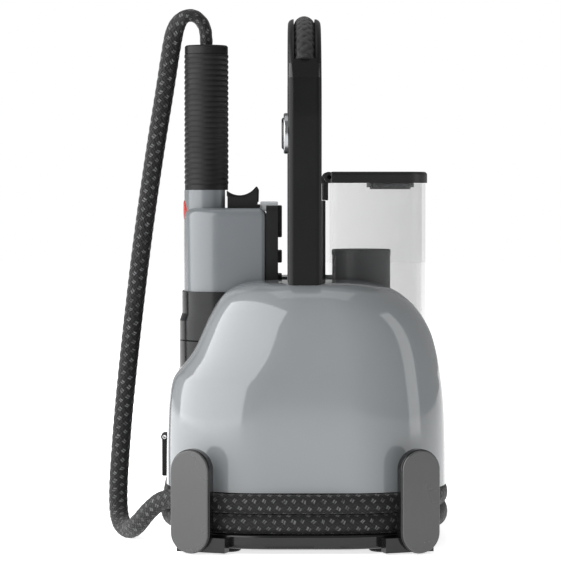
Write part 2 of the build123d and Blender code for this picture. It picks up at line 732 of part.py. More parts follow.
with BuildPart() as tank_lid:
    two_round_slab((hinge_x + 0.4, tank_right + lid_overhang),
                   (tank_front - lid_overhang, tank_back + lid_overhang), (lid_bottom, lid_top),
                   lid_round, tank_round + lid_overhang)
    fillet(tank_lid.edges().group_by(Axis.Z)[-1], lid_round)
    rod((hinge_x, tank_front - lid_overhang + 2.2, hinge_z), (0, 1, 0), hinge_radius - 0.3,
        tank_depth + 2 * lid_overhang - 4.4)
    slab((tank_left + 25.1, tank_right - 6.8), (tank_front + lid_dish_inset, tank_back - lid_dish_inset),
         (lid_bottom - lid_dish_depth, lid_bottom), 8.0)
    for low, high in hinge_spans:
        block((0, hinge_x + hinge_radius + 0.6), (low - 0.4, high + 0.4), (lid_bottom - 9, lid_top + 1),
              Mode.SUBTRACT)
    rod((hinge_x, tank_front - 10, hinge_z), (0, 1, 0), hinge_pin_radius + 0.05, tank_depth + 20,
        Mode.SUBTRACT)
save(tank_lid, "tank_lid")

with BuildPart() as lid_seal:
    seal_top = lid_bottom - lid_dish_depth
    slab((tank_left + 27.1, tank_right - 8.8),
         (tank_front + lid_dish_inset + 2, tank_back - lid_dish_inset - 2),
         (seal_top - lid_seal_thickness, seal_top), 7.0)
save(lid_seal, "lid_seal")

with BuildPart() as tank_valve:
    rod((cartridge_x, inlet_y, tank_bottom), (0, 0, 1), valve_radius, 9.0)
    fillet(tank_valve.edges().group_by(Axis.Z)[-1], 1.5)
save(tank_valve, "tank_valve")

with BuildPart() as tank_guide:
    block((bay_left, bay_left + guide_thickness),
          (tank_middle - hinge_reach, tank_middle + hinge_reach), (bay_floor, hinge_z - 14.3))
save(tank_guide, "tank_guide")

with BuildPart() as filter_cartridge:
    cartridge_low = tank_bottom + tank_wall + slide_gap
    rod((cartridge_x, cartridge_y, cartridge_low), (0, 0, 1), cartridge_radius,
        cartridge_top - cartridge_low)
    rod((cartridge_x, cartridge_y, cartridge_top - 3.6), (0, 0, 1), cartridge_rim, 3.6)
    fillet(filter_cartridge.edges().group_by(Axis.Z)[-1], 1.2)
save(filter_cartridge, "filter_cartridge")

with BuildPart() as water_inlet:
    rod((cartridge_x, inlet_y, inlet_bottom), (0, 0, 1), inlet_radius, inlet_drop + fit_gap)
save(water_inlet, "water_inlet")

# ---- inside the base ----
with BuildPart() as boiler:
    rod((boiler_x, boiler_y, floor_z + boiler_leg), (0, 0, 1), boiler_radius, boiler_height)
    fillet(boiler.edges().group_by(Axis.Z)[-1], 10.0)
    for leg in (90, 210, 330):
        leg_x = boiler_x + (boiler_radius - 8) * cos(radians(leg))
        leg_y = boiler_y + (boiler_radius - 8) * sin(radians(leg))
        rod((leg_x, leg_y, floor_z), (0, 0, 1), 4.0, boiler_leg + 2)
save(boiler, "boiler")

with BuildPart() as heating_element:
    element_z = floor_z + boiler_leg - 6
    rod((boiler_x, boiler_y, element_z), (0, 0, 1), 24.0, 6.0)
    rod((boiler_x, boiler_y, element_z), (0, 0, 1), 17.0, 6.0, Mode.SUBTRACT)
save(heating_element, "heating_element")

with BuildPart() as pump:
    block((pump_x - 14, pump_x + 14), (pump_y - 13, pump_y + 13), (floor_z, floor_z + 8))
    rod((pump_x, pump_y, floor_z + 8), (0, 0, 1), pump_radius, 40)
save(pump, "pump")

with BuildPart() as solenoid_valve:
    block((pump_x - 10, pump_x + 10), (-12, 12), (floor_z, floor_z + 22))
    rod((pump_x, 0, floor_z + 22), (0, 0, 1), 7.0, 12)
save(solenoid_valve, "solenoid_valve")

with BuildPart() as control_board:
    board_front = -drum_depth / 2 + board_inset
    board_back = board_front + 1.6
    block((-50, 30), (board_front, board_back), (floor_z + 2, floor_z + 56))
    block((-40, -22), (board_back, board_back + 12.4), (floor_z + 10, floor_z + 24))
    block((-6, 14), (board_back, board_back + 8.4), (floor_z + 30, floor_z + 44))
    for x in (-44, 24):
        block((x - 3, x + 3), (board_front - 4, board_front + 6), (floor_z, floor_z + 2))
save(control_board, "control_board")

with BuildPart() as internal_tubes:
    rod((pump_x, pump_y - pump_radius, floor_z + 30), (0, -1, 0), 2.5, 20)
    rod((cartridge_x, inlet_y, inlet_bottom - 8.2), (0, 0, 1), 2.5, 8.2)
save(internal_tubes, "internal_tubes")

with BuildPart() as tray_screws:
    for x in (-40, 40):
        for side in (-1, 1):
            screw_y = side * (drum_depth / 2 - screw_inset)
            rod((x, screw_y, floor_z), (0, 0, 1), 3.2, 2.4)
            rod((x, screw_y, floor_z + 2.4), (0, 0, 1), 1.6, 8)
save(tray_screws, "tray_screws")

with BuildPart() as mains_gland:
    gland_y = shell_half_depth - 0.2
    rod((0, gland_y, mains_z), (0, 1, 0), 8.0, 4.0)
    rod((0, gland_y + 4, mains_z), (0, 1, 0), 5.5, 7.0)
    fillet(mains_gland.edges().group_by(Axis.Y)[-1], 1.5)
    rod((0, gland_y + 3, mains_z), (0, 1, 0), 3.2, 9.0, Mode.SUBTRACT)
    add(body_shell.part, mode=Mode.SUBTRACT)
save(mains_gland, "mains_gland")

# ---- cord keeper ----
keeper_half = keeper_width / 2
keeper_ring = keeper_thickness / 2
pin_half = keeper_half + slide_gap + keeper_ear
with BuildPart() as keeper_bracket:
    for start in (keeper_y - pin_half, keeper_y + keeper_half + slide_gap):
        rod((keeper_pin_x, start, keeper_pin_z), (0, 1, 0), keeper_ring, keeper_ear)
        block((keeper_pin_x, keeper_in + 1.5), (start, start + keeper_ear),
              (keeper_pin_z - keeper_ring, keeper_pin_z + keeper_ring))
    rod((keeper_pin_x, keeper_y - keeper_width, keeper_pin_z), (0, 1, 0), keeper_pin_radius,
        2 * keeper_width, Mode.SUBTRACT)
    add(body_shell.part, mode=Mode.SUBTRACT)
save(keeper_bracket, "keeper_bracket")

with BuildPart() as keeper_pin:
    rod((keeper_pin_x, keeper_y - pin_half, keeper_pin_z), (0, 1, 0), keeper_pin_radius,
        2 * pin_half)
    rod((keeper_pin_x, keeper_y - pin_half, keeper_pin_z), (0, 1, 0), keeper_pin_bore,
        2 * pin_half, Mode.SUBTRACT)
save(keeper_pin, "keeper_pin")

with BuildPart() as cord_keeper:
    block((keeper_out + 0.6, keeper_in - slide_gap), (keeper_y - keeper_half, keeper_y + keeper_half),
          (keeper_bottom, keeper_pin_z))
    fillet(cord_keeper.edges().filter_by(Axis.Y).group_by(Axis.Z)[0], 0.9)
    rod((keeper_pin_x, keeper_y - keeper_half, keeper_pin_z), (0, 1, 0), keeper_ring, keeper_width)
    rod((keeper_pin_x, keeper_y - keeper_width, keeper_pin_z), (0, 1, 0), keeper_pin_radius + 0.05,
        2 * keeper_width, Mode.SUBTRACT)
save(cord_keeper, "cord_keeper")

# ---- steam hose ----
with BuildPart() as base_gland:
    block(gland_x, (drum_depth / 2, drum_depth / 2 + lane_thickness), (tray_top, lane_split_z))
    fillet(base_gland.edges().filter_by(Axis.Z).group_by(Axis.Y)[-1], 2.0)
save(base_gland, "base_gland")

with BuildPart() as hose_winding:
    oval_prism(drum_width + 2 * lane_thickness, drum_depth + 2 * lane_thickness,
               drum_corner + lane_thickness, (tray_top, drum_top))
    oval_prism(drum_width, drum_depth, drum_corner, (0, drum_top + 1), Mode.SUBTRACT)
    block(gland_x, (drum_depth / 2 - 1, drum_depth), (0, lane_split_z), Mode.SUBTRACT)
save(hose_winding, "hose_winding")

hose_points = [
    (grip_x, 0.0, grip_top), (-59.5, 0.0, 303.4), (-61.0, 0.1, 310.4), (-66.4, 0.3, 315.8),
    (-73.2, 0.6, 315.4), (-78.4, 0.8, 308.8), (-81.0, 1.0, 296.0), (-84.6, 1.5, 272.0),
    (-90.8, 2.0, 235.0), (-98.6, 1.5, 181.0), (-104.9, 0.5, 128.0), (-109.9, -2.0, 80.0),
    (-112.3, -6.0, 48.0), (-113.4, -12.0, 25.0), (-112.0, -23.5, 9.0), (-106.0, -38.0, 3.4),
    (-99.8, -51.0, 9.0), (-92.2, -62.0, 19.6), (-83.3, -71.2, 27.6), (-71.6, -82.6, 29.0),
]
split_run = 9


def route_radii(points):
    """Gives each corner's radius: 0.45 of its shorter run over the tangent of half its turn."""
    radii = []
    for before, here, after in zip(points, points[1:], points[2:]):
        arriving = Vector(here) - Vector(before)
        leaving = Vector(after) - Vector(here)
        turn = radians(arriving.get_angle(leaving))
        radii.append(0.45 * min(arriving.length, leaving.length) / tan(turn / 2))
    return radii


hose_radii = route_radii(hose_points)
print("hose radii", [round(radius, 1) for radius in hose_radii])
seam = (Vector(hose_points[split_run]) + Vector(hose_points[split_run + 1])) * 0.5
upper_route = [Vector(point) for point in hose_points[:split_run + 1]] + [seam]
lower_route = [seam] + [Vector(point) for point in hose_points[split_run + 1:]]
for name, route, radii in (("hose_upper", upper_route, hose_radii[:split_run]),
                           ("hose_lower", lower_route, hose_radii[split_run:])):
    with BuildPart() as hose:
        with BuildLine() as hose_line:
            FilletPolyline(route, radius=radii)
        hose_wire = hose_line.wire()
        with BuildSketch(Plane(origin=hose_wire @ 0, z_dir=hose_wire % 0)):
            Circle(hose_diameter / 2)
        sweep()
    section = pi * (hose_diameter / 2) ** 2
    print(name, "length", round(hose_wire.length, 1), "volume ratio",
          round(hose.part.volume / (section * hose_wire.length), 4))
    save(hose, name)
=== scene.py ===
import logging
import math
from dataclasses import dataclass
from enum import Enum
from typing import Callable, Sequence

import bpy
import numpy as np
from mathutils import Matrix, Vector


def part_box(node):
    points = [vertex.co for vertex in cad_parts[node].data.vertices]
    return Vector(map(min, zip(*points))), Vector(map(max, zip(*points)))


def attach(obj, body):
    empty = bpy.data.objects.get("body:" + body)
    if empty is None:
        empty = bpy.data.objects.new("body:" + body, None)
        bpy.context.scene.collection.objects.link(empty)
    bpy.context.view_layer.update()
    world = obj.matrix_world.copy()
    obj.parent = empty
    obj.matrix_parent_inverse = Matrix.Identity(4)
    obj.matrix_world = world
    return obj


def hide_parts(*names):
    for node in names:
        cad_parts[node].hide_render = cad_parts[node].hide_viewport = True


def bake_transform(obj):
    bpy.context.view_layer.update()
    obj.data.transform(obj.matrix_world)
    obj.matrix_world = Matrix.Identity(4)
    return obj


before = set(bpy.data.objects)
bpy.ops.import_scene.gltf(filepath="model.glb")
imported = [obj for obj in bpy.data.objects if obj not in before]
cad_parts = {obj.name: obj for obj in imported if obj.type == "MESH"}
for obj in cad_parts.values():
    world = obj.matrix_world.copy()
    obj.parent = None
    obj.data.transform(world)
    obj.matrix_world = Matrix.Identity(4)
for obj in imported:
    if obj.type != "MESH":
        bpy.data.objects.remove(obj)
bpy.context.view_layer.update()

MM = 0.001
NODES: dict[str, bpy.types.Object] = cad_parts
Colour = tuple[float, float, float]
log = logging.getLogger("steamer")


class Body(Enum):
    """The bodies that a made piece can ride on."""

    ROOT = "root"
    HANDPIECE = "handpiece"


# ---------------------------------------------------------------- shaders


class ShaderTree:
    """One material's node tree, with short names for the nodes that the finishes use."""

    def __init__(self, name: str) -> None:
        """Makes an empty material with a Principled surface.

        Args:
            name: the material's name.
        """
        self.material = bpy.data.materials.new(name)
        self.material.use_nodes = True
        self.tree = self.material.node_tree
        self.surface = self.tree.nodes["Principled BSDF"]
        self.place = self.tree.nodes.new("ShaderNodeTexCoord").outputs["Object"]

    def link(self, start: bpy.types.NodeSocket, end: bpy.types.NodeSocket) -> None:
        """Joins two sockets."""
        self.tree.links.new(start, end)

    def set(self, **sockets: float | Sequence[float]) -> None:
        """Sets the surface's own sockets, named in lower case with underscores."""
        for name, value in sockets.items():
            socket = name.replace("_", " ").title().replace("Ior", "IOR")
            self.surface.inputs[socket].default_value = value

    def math(self, operation: str, *values: bpy.types.NodeSocket | float) -> bpy.types.NodeSocket:
        """Adds a Math node.

        Args:
            operation: the node's operation, such as "MULTIPLY".
            values: its inputs, each a socket or a number.

        Returns:
            The node's result.
        """
        node = self.tree.nodes.new("ShaderNodeMath")
        node.operation = operation
        for slot, value in enumerate(values):
            if isinstance(value, (int, float)):
                node.inputs[slot].default_value = value
            else:
                self.link(value, node.inputs[slot])
        return node.outputs[0]

    def stretch(self, scale: Sequence[float]) -> bpy.types.NodeSocket:
        """Gives the object coordinates scaled along each axis."""
        node = self.tree.nodes.new("ShaderNodeMapping")
        node.inputs["Scale"].default_value = scale
        self.link(self.place, node.inputs["Vector"])
        return node.outputs[0]

    def noise(self, scale: float, detail: float = 2.0,
              place: bpy.types.NodeSocket | None = None) -> bpy.types.NodeSocket:
        """Adds a noise and gives its value, from about 0.3 to 0.7."""
        node = self.tree.nodes.new("ShaderNodeTexNoise")
        node.inputs["Scale"].default_value = scale
        node.inputs["Detail"].default_value = detail
        self.link(place or self.place, node.inputs["Vector"])
        return node.outputs["Fac"]

    def spread(self, value: bpy.types.NodeSocket, low: float, high: float,
               source: tuple[float, float] = (0.3, 0.7)) -> bpy.types.NodeSocket:
        """Maps a value from one range to another and clamps it."""
        node = self.tree.nodes.new("ShaderNodeMapRange")
        sockets = ("From Min", "From Max", "To Min", "To Max")
        for name, number in zip(sockets, (*source, low, high)):
            node.inputs[name].default_value = number
        self.link(value, node.inputs["Value"])
        return node.outputs["Result"]

    def blend(self, amount: bpy.types.NodeSocket, first: Colour | bpy.types.NodeSocket,
              second: Colour) -> bpy.types.NodeSocket:
        """Mixes two colours by an amount from 0 to 1."""
        node = self.tree.nodes.new("ShaderNodeMix")
        node.data_type = "RGBA"
        self.link(amount, node.inputs[0])
        for slot, colour in ((6, first), (7, second)):
            if isinstance(colour, tuple):
                node.inputs[slot].default_value = (*colour, 1.0)
            else:
                self.link(colour, node.inputs[slot])
        return node.outputs[2]

    def bump(self, height: bpy.types.NodeSocket, distance: float, strength: float = 1.0) -> None:
        """Puts a bump of that depth, in metres, on the surface."""
        node = self.tree.nodes.new("ShaderNodeBump")
        node.inputs["Distance"].default_value = distance
        node.inputs["Strength"].default_value = strength
        self.link(height, node.inputs["Height"])
        if self.surface.inputs["Normal"].is_linked:
            self.link(self.surface.inputs["Normal"].links[0].from_socket, node.inputs["Normal"])
        self.link(node.outputs["Normal"], self.surface.inputs["Normal"])

    def attribute(self, name: str) -> bpy.types.NodeSocket:
        """Gives the value of a number stored on the mesh."""
        node = self.tree.nodes.new("ShaderNodeAttribute")
        node.attribute_name = name
        return node.outputs["Fac"]


def shade(colour: Colour, factor: float) -> Colour:
    """Gives a darker or lighter form of a colour."""
    return tuple(min(1.0, channel * factor) for channel in colour)


@dataclass(frozen=True)
class MouldedPlastic:
    """Moulded plastic with a slow tone change, uneven gloss and a fine surface.

    Gloss shells have a low roughness and a faint orange peel; matte parts have a
    spark-eroded grain.
    """

    name: str
    colour: Colour
    roughness: float
    grain: float = 1400.0
    grain_depth: float = 0.00001
    peel_depth: float = 0.0
    coat: float = 0.0
    mottle: float = 0.05
    specular: float = 0.5
    coat_roughness: float = 0.03

    def build(self) -> bpy.types.Material:
        """Makes the material."""
        kit = ShaderTree(self.name)
        tone = kit.spread(kit.noise(14.0, 3.0), 0.0, 1.0)
        pale, deep = shade(self.colour, 1 + self.mottle), shade(self.colour, 1 - self.mottle)
        kit.link(kit.blend(tone, deep, pale), kit.surface.inputs["Base Color"])
        smear = kit.spread(kit.noise(38.0, 4.0), self.roughness * 0.88, self.roughness * 1.14)
        kit.link(smear, kit.surface.inputs["Roughness"])
        kit.bump(kit.noise(self.grain, 2.0), self.grain_depth)
        if self.peel_depth:
            kit.bump(kit.noise(90.0, 1.0), self.peel_depth)
        kit.set(specular_ior_level=self.specular, coat_weight=self.coat,
                coat_roughness=self.coat_roughness)
        return kit.material


@dataclass(frozen=True)
class SoftRubber:
    """Matte rubber with a dry bloom and a pebbled skin."""

    name: str
    colour: Colour
    roughness: float = 0.62
    pebble: float = 900.0
    pebble_depth: float = 0.00003
    bloom: float = 1.35

    def build(self) -> bpy.types.Material:
        """Makes the material."""
        kit = ShaderTree(self.name)
        bloom = kit.spread(kit.noise(60.0, 4.0), 0.0, 1.0, (0.42, 0.72))
        kit.link(kit.blend(bloom, self.colour, shade(self.colour, self.bloom)),
                 kit.surface.inputs["Base Color"])
        kit.link(kit.spread(kit.noise(120.0, 3.0), self.roughness - 0.06, self.roughness + 0.08),
                 kit.surface.inputs["Roughness"])
        kit.bump(kit.noise(self.pebble, 3.0), self.pebble_depth)
        kit.set(specular_ior_level=0.25, sheen_weight=0.02)
        return kit.material


@dataclass(frozen=True)
class ClearPlastic:
    """Clear moulded plastic with a grey tint and slow flow marks; its alpha rises from left to right as
    painted shade for the rounded right end.
    """

    name: str
    colour: Colour
    left_alpha: float
    right_alpha: float
    roughness: float = 0.06
    flow_depth: float = 0.0004
    span: tuple[float, float] = (0.015, 0.074)

    def build(self) -> bpy.types.Material:
        """Makes the material."""
        kit = ShaderTree(self.name)
        flow = kit.noise(9.0, 2.0, kit.stretch((1.0, 1.0, 0.25)))
        kit.link(kit.blend(kit.spread(flow, 0.0, 1.0), self.colour, shade(self.colour, 0.94)),
                 kit.surface.inputs["Base Color"])
        kit.link(kit.spread(kit.noise(55.0, 3.0), self.roughness * 0.7, self.roughness * 1.5),
                 kit.surface.inputs["Roughness"])
        kit.bump(flow, self.flow_depth)
        # painted shade: alpha grows across the span from left to right, so the tank greys towards its
        # rounded right end
        sideways = kit.tree.nodes.new("ShaderNodeSeparateXYZ")
        kit.link(kit.place, sideways.inputs["Vector"])
        kit.link(kit.spread(sideways.outputs["X"], self.left_alpha, self.right_alpha, self.span),
                 kit.surface.inputs["Alpha"])
        kit.set(specular_ior_level=0.6)
        return kit.material


@dataclass(frozen=True)
class BrushedMetal:
    """Metal with fine lines along one axis."""

    name: str
    colour: Colour
    roughness: float
    lines: tuple[float, float, float] = (60.0, 60.0, 1800.0)
    line_depth: float = 0.000008

    def build(self) -> bpy.types.Material:
        """Makes the material."""
        kit = ShaderTree(self.name)
        streak = kit.noise(1.0, 3.0, kit.stretch(self.lines))
        kit.link(kit.blend(kit.spread(streak, 0.0, 1.0), shade(self.colour, 0.88), self.colour),
                 kit.surface.inputs["Base Color"])
        kit.link(kit.spread(streak, self.roughness * 0.8, self.roughness * 1.25),
                 kit.surface.inputs["Roughness"])
        kit.bump(streak, self.line_depth)
        kit.set(metallic=1.0)
        return kit.material


@dataclass(frozen=True)
class BraidedSleeve:
    """Black yarn braid, darkened in the gaps between the yarns as painted shade, with pale slanting
    double stitches in staggered rows where asked.

    The mesh holds how far along and how far round each point lies, in stitches.
    """

    name: str
    yarn: Colour
    tracer: Colour
    flecked: bool = True
    fineness: float = 2.0
    cell: tuple[float, float] = (5.6, 3.7)
    slant: tuple[float, float] = (0.85, 0.52)
    dash_offset: float = 0.62
    dash_half_width: tuple[float, float] = (0.28, 0.5)
    dash_half_length: tuple[float, float] = (0.75, 1.1)
    sway: float = 0.12
    yarn_depth: float = 0.0004

    def fleck(self, kit: ShaderTree, along: bpy.types.NodeSocket,
              around: bpy.types.NodeSocket) -> bpy.types.NodeSocket:
        """Gives 1 on a pale double stitch and 0 elsewhere.

        Args:
            kit: the material's node tree.
            along: stitches along the cord.
            around: stitches round the cord.

        Returns:
            The amount of tracer yarn.
        """
        straight, cross = self.slant
        long_side, short_side = self.cell
        row = kit.math("MULTIPLY", kit.math("MODULO", kit.math("FLOOR", around), 2.0), 0.5)
        across = kit.math("SUBTRACT", kit.math("FRACT", kit.math("ADD", along, row)), 0.5)
        up = kit.math("SUBTRACT", kit.math("FRACT", around), 0.5)
        first = kit.math("ADD", kit.math("MULTIPLY", across, straight * long_side),
                         kit.math("MULTIPLY", up, cross * short_side))
        second = kit.math("SUBTRACT", kit.math("MULTIPLY", up, straight * short_side),
                          kit.math("MULTIPLY", across, cross * long_side))
        beside = kit.math("SUBTRACT", kit.math("ABSOLUTE", first), self.dash_offset)
        narrow = kit.spread(kit.math("ABSOLUTE", beside), 1.0, 0.0, self.dash_half_width)
        short = kit.spread(kit.math("ABSOLUTE", second), 1.0, 0.0, self.dash_half_length)
        return kit.math("MULTIPLY", narrow, short)

    def build(self) -> bpy.types.Material:
        """Makes the material."""
        kit = ShaderTree(self.name)
        sway = kit.spread(kit.noise(140.0, 1.0), -self.sway, self.sway)
        along = kit.math("ADD", kit.attribute("along"), sway)
        around = kit.math("ADD", kit.attribute("around"), kit.math("MULTIPLY", sway, 0.7))
        left = kit.math("MULTIPLY", kit.math("ADD", along, around), self.fineness)
        right = kit.math("MULTIPLY", kit.math("SUBTRACT", along, around), self.fineness)
        left_yarn = kit.math("ABSOLUTE", kit.math("SINE", kit.math("MULTIPLY", left, math.pi)))
        right_yarn = kit.math("ABSOLUTE", kit.math("SINE", kit.math("MULTIPLY", right, math.pi)))
        over = kit.math("PINGPONG", kit.math("ADD", left, kit.math("MULTIPLY", right, 0.5)), 1.0)
        weave = kit.math("ADD", kit.math("MULTIPLY", left_yarn, over),
                         kit.math("MULTIPLY", right_yarn, kit.math("SUBTRACT", 1.0, over)))
        fibre = kit.noise(900.0, 3.0)
        woven = kit.math("MULTIPLY", weave, kit.spread(fibre, 0.7, 1.1))
        # painted shade: the colour drops to 0.4 of the yarn in the gaps between the yarns
        colour = kit.blend(kit.spread(woven, 0.0, 1.0, (0.2, 0.9)), shade(self.yarn, 0.4), self.yarn)
        if self.flecked:
            wear = kit.spread(kit.noise(260.0, 2.0), 0.15, 1.0)
            worn = kit.math("MULTIPLY", self.fleck(kit, along, around), wear)
            colour = kit.blend(worn, colour, self.tracer)
        kit.link(colour, kit.surface.inputs["Base Color"])
        kit.link(kit.spread(weave, 0.75, 0.5, (0.0, 1.0)), kit.surface.inputs["Roughness"])
        kit.bump(woven, self.yarn_depth, 0.7)
        kit.set(sheen_weight=0.1, specular_ior_level=0.3)
        return kit.material


@dataclass(frozen=True)
class PaleFloor:
    """A plain pale studio floor that glows a little, so that it stays white under soft light."""

    name: str
    colour: Colour
    glow: float

    def build(self) -> bpy.types.Material:
        """Makes the material."""
        kit = ShaderTree(self.name)
        tone = kit.spread(kit.noise(3.0), 0.0, 1.0)
        kit.link(kit.blend(tone, self.colour, shade(self.colour, 0.99)),
                 kit.surface.inputs["Base Color"])
        kit.set(roughness=0.8, specular_ior_level=0.1, emission_color=(1.0, 1.0, 1.0, 1.0),
                emission_strength=self.glow)
        return kit.material


@dataclass(frozen=True)
class PrintedBoard:
    """Green board with a fine pattern of copper tracks under the mask."""

    name: str
    colour: Colour
    track_scale: float = 160.0
    track_width: float = 0.03

    def build(self) -> bpy.types.Material:
        """Makes the material."""
        kit = ShaderTree(self.name)
        track = kit.tree.nodes.new("ShaderNodeTexBrick")
        track.inputs["Scale"].default_value = self.track_scale
        track.inputs["Mortar Size"].default_value = self.track_width
        kit.link(kit.place, track.inputs["Vector"])
        kit.link(kit.blend(track.outputs["Fac"], self.colour, shade(self.colour, 2.2)),
                 kit.surface.inputs["Base Color"])
        kit.set(roughness=0.35)
        return kit.material


# ---------------------------------------------------------------- mesh tools


def mesh_piece(name: str, points: np.ndarray, faces: Sequence[Sequence[int]],
               sharp_angle: float = 40.0) -> bpy.types.Object:
    """Makes a smooth-shaded mesh object.

    Args:
        name: the piece's name.
        points: an array of places in metres.
        faces: the corner numbers of each face.
        sharp_angle: edges that turn more than this many degrees stay sharp.

    Returns:
        The linked object.
    """
    mesh = bpy.data.meshes.new(name)
    mesh.from_pydata([tuple(point) for point in points], [], faces)
    mesh.update()
    soften(mesh, sharp_angle)
    piece = bpy.data.objects.new(name, mesh)
    bpy.context.scene.collection.objects.link(piece)
    return piece


def soften(mesh: bpy.types.Mesh, sharp_angle: float) -> None:
    """Shades a mesh smooth and keeps its hard edges."""
    mesh.polygons.foreach_set("use_smooth", [True] * len(mesh.polygons))
    mesh.set_sharp_from_angle(angle=math.radians(sharp_angle))


def ring_faces(rings: int, around: int, capped: bool = True) -> list[tuple[int, ...]]:
    """Gives the faces of a closed tube of rings, with a flat cap on each end."""
    faces = [
        (r * around + k, r * around + (k + 1) % around,
         (r + 1) * around + (k + 1) % around, (r + 1) * around + k)
        for r in range(rings - 1) for k in range(around)
    ]
    if capped:
        faces.append(tuple(reversed(range(around))))
        faces.append(tuple(range((rings - 1) * around, rings * around)))
    return faces


def ring_numbers(piece: bpy.types.Object, along: np.ndarray, around: np.ndarray) -> None:
    """Stores how far along and round each point lies, for the woven finishes."""
    for name, values in (("along", along), ("around", around)):
        layer = piece.data.attributes.new(name, "FLOAT", "POINT")
        layer.data.foreach_set("value", values.astype(np.float32).ravel())


def box_piece(name: str, low: Sequence[float], high: Sequence[float]) -> bpy.types.Object:
    """Makes a cutter box between two corners."""
    points = np.array([[x, y, z] for z in (low[2], high[2]) for y in (low[1], high[1])
                       for x in (low[0], high[0])])
    faces = [(0, 2, 3, 1), (4, 5, 7, 6), (0, 1, 5, 4), (1, 3, 7, 5), (3, 2, 6, 7), (2, 0, 4, 6)]
    return mesh_piece(name, points, faces)


def cut(piece: bpy.types.Object, *cutters: bpy.types.Object) -> None:
    """Cuts closed meshes out of a piece, and removes the cutters that aren't frame nodes."""
    for cutter in cutters:
        step = piece.modifiers.new("cut", "BOOLEAN")
        step.operation = "DIFFERENCE"
        step.solver = "EXACT"
        step.object = cutter
    bake_modifiers(piece)
    for cutter in cutters:
        if cutter.name not in NODES:
            bpy.data.objects.remove(cutter)


def bake_modifiers(piece: bpy.types.Object) -> None:
    """Replaces a piece's mesh by what its modifiers make of it."""
    graph = bpy.context.evaluated_depsgraph_get()
    made = bpy.data.meshes.new_from_object(piece.evaluated_get(graph))
    piece.modifiers.clear()
    piece.data = made


def paint(piece: bpy.types.Object, material: bpy.types.Material) -> None:
    """Gives a piece one material in every slot."""
    if not piece.material_slots:
        piece.data.materials.append(material)
    for slot in piece.material_slots:
        slot.material = material


def unit(vectors: np.ndarray) -> np.ndarray:
    """Scales vectors to length one."""
    return vectors / np.linalg.norm(vectors, axis=-1, keepdims=True)


def distances(points: np.ndarray) -> np.ndarray:
    """Gives how far along a line each of its points lies."""
    return np.concatenate([[0.0], np.cumsum(np.linalg.norm(np.diff(points, axis=0), axis=1))])


def resample(line: np.ndarray, spots: np.ndarray) -> np.ndarray:
    """Gives the places at the given distances along a line."""
    reach = distances(line)
    return np.column_stack([np.interp(spots, reach, line[:, k]) for k in range(3)])


def smooth_step(values: np.ndarray, low: float, high: float) -> np.ndarray:
    """Goes from 0 at low to 1 at high, with level ends."""
    share = np.clip((values - low) / (high - low), 0.0, 1.0)
    return share * share * (3 - 2 * share)


# ---------------------------------------------------------------- sub-assemblies


